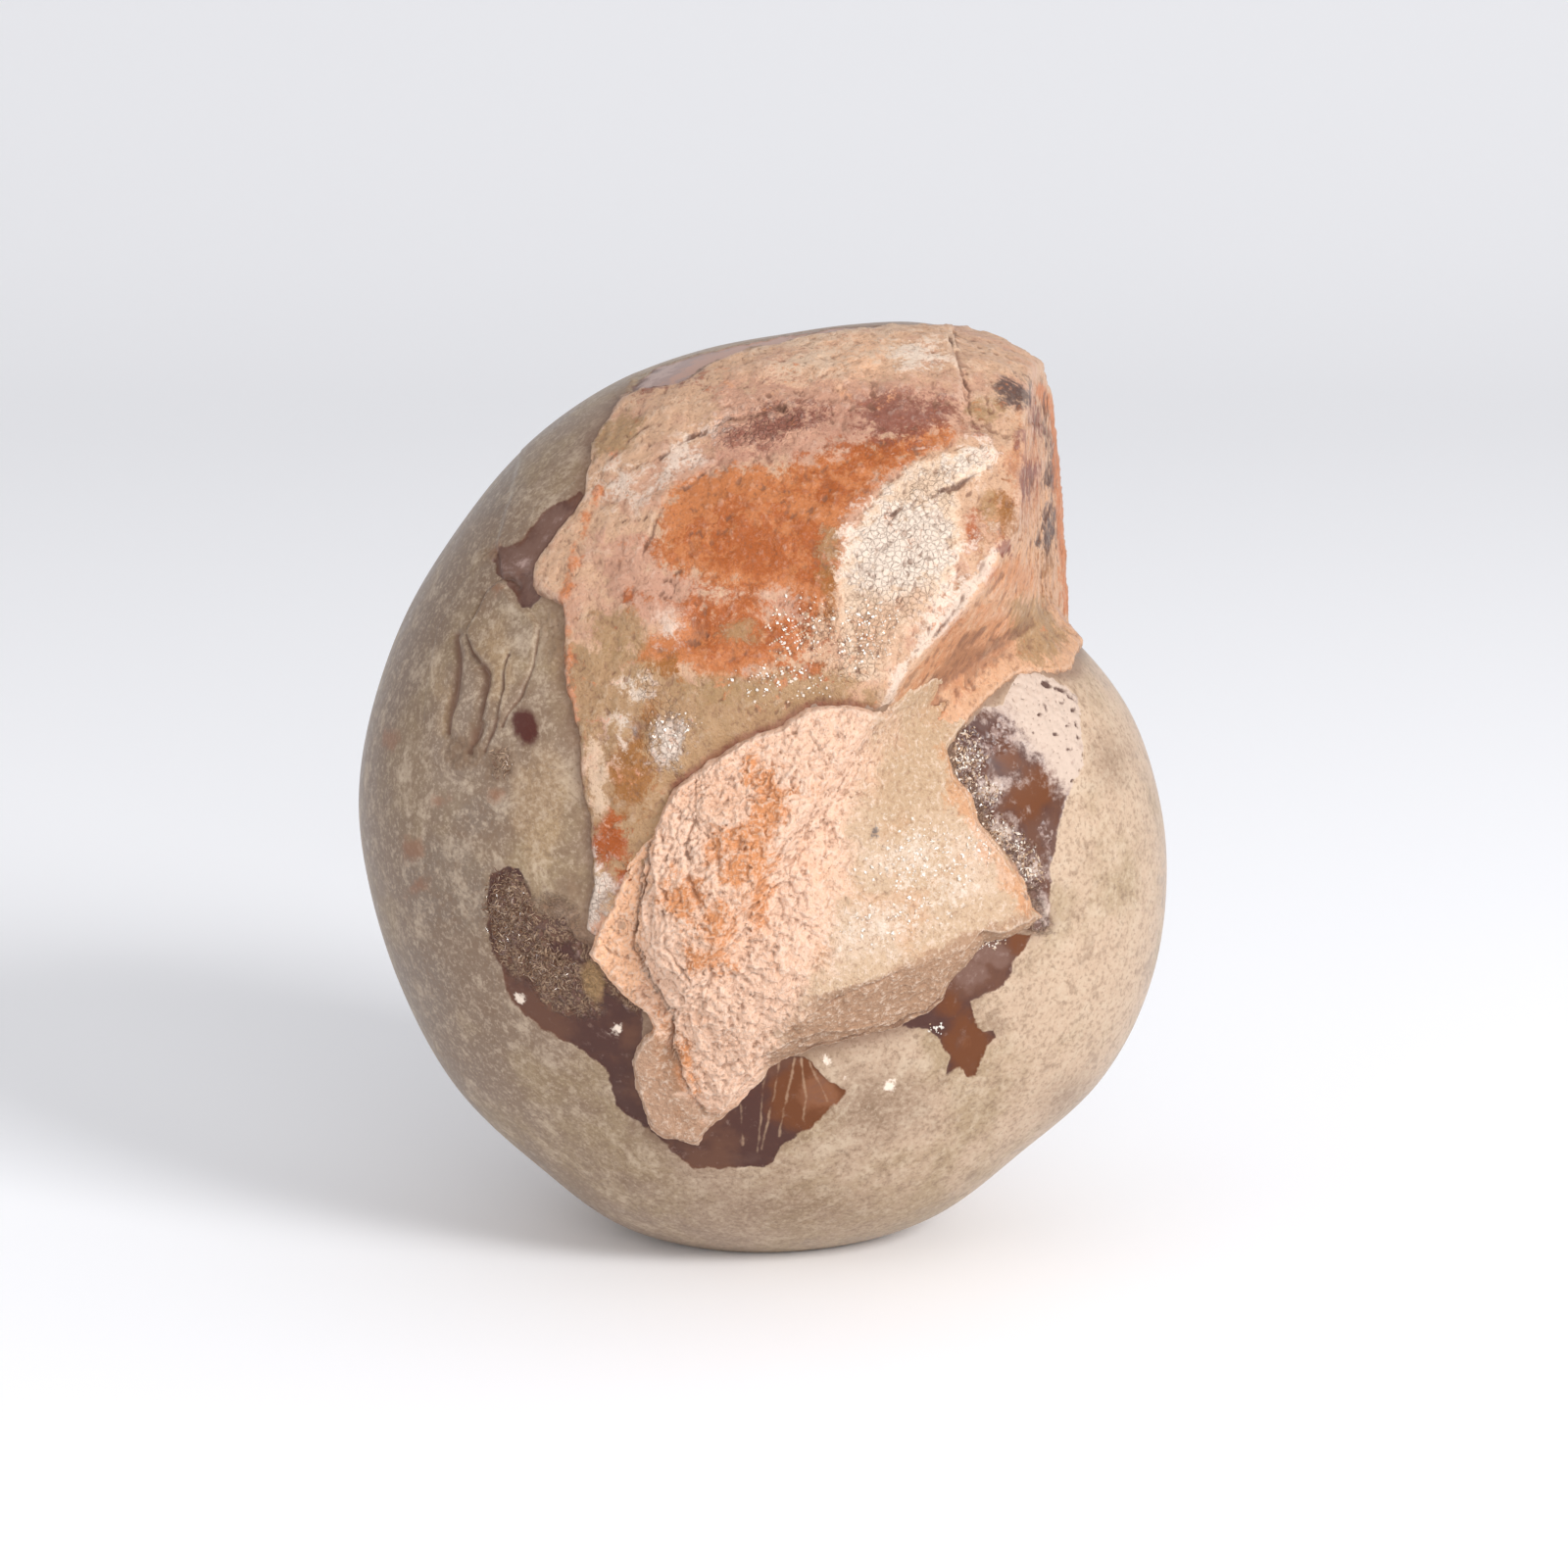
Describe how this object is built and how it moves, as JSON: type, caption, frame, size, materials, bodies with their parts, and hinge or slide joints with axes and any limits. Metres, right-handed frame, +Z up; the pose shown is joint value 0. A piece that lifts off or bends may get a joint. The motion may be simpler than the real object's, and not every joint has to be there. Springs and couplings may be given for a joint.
{
  "type": "fossil ammonite",
  "caption": "Globular polished ammonite fossil, its last whorl broken off and a rough lump of rock left on one side, standing on a small flat spot.",
  "frame": {"origin": "centre of the bounding box, on the flat foot", "axes": "+Z up, +Y along the coil axis away from the side with the rough rock, +X towards the broken end of the last whorl"},
  "size_m": [0.103, 0.0846, 0.1181],
  "materials": {
    "ammonite": "polished fossil shell, tan and olive, with rough pink and orange rock where the shell is broken away"
  },
  "bodies": {
    "root": {"ammonite": "ammonite"}
  },
  "joints": []
}
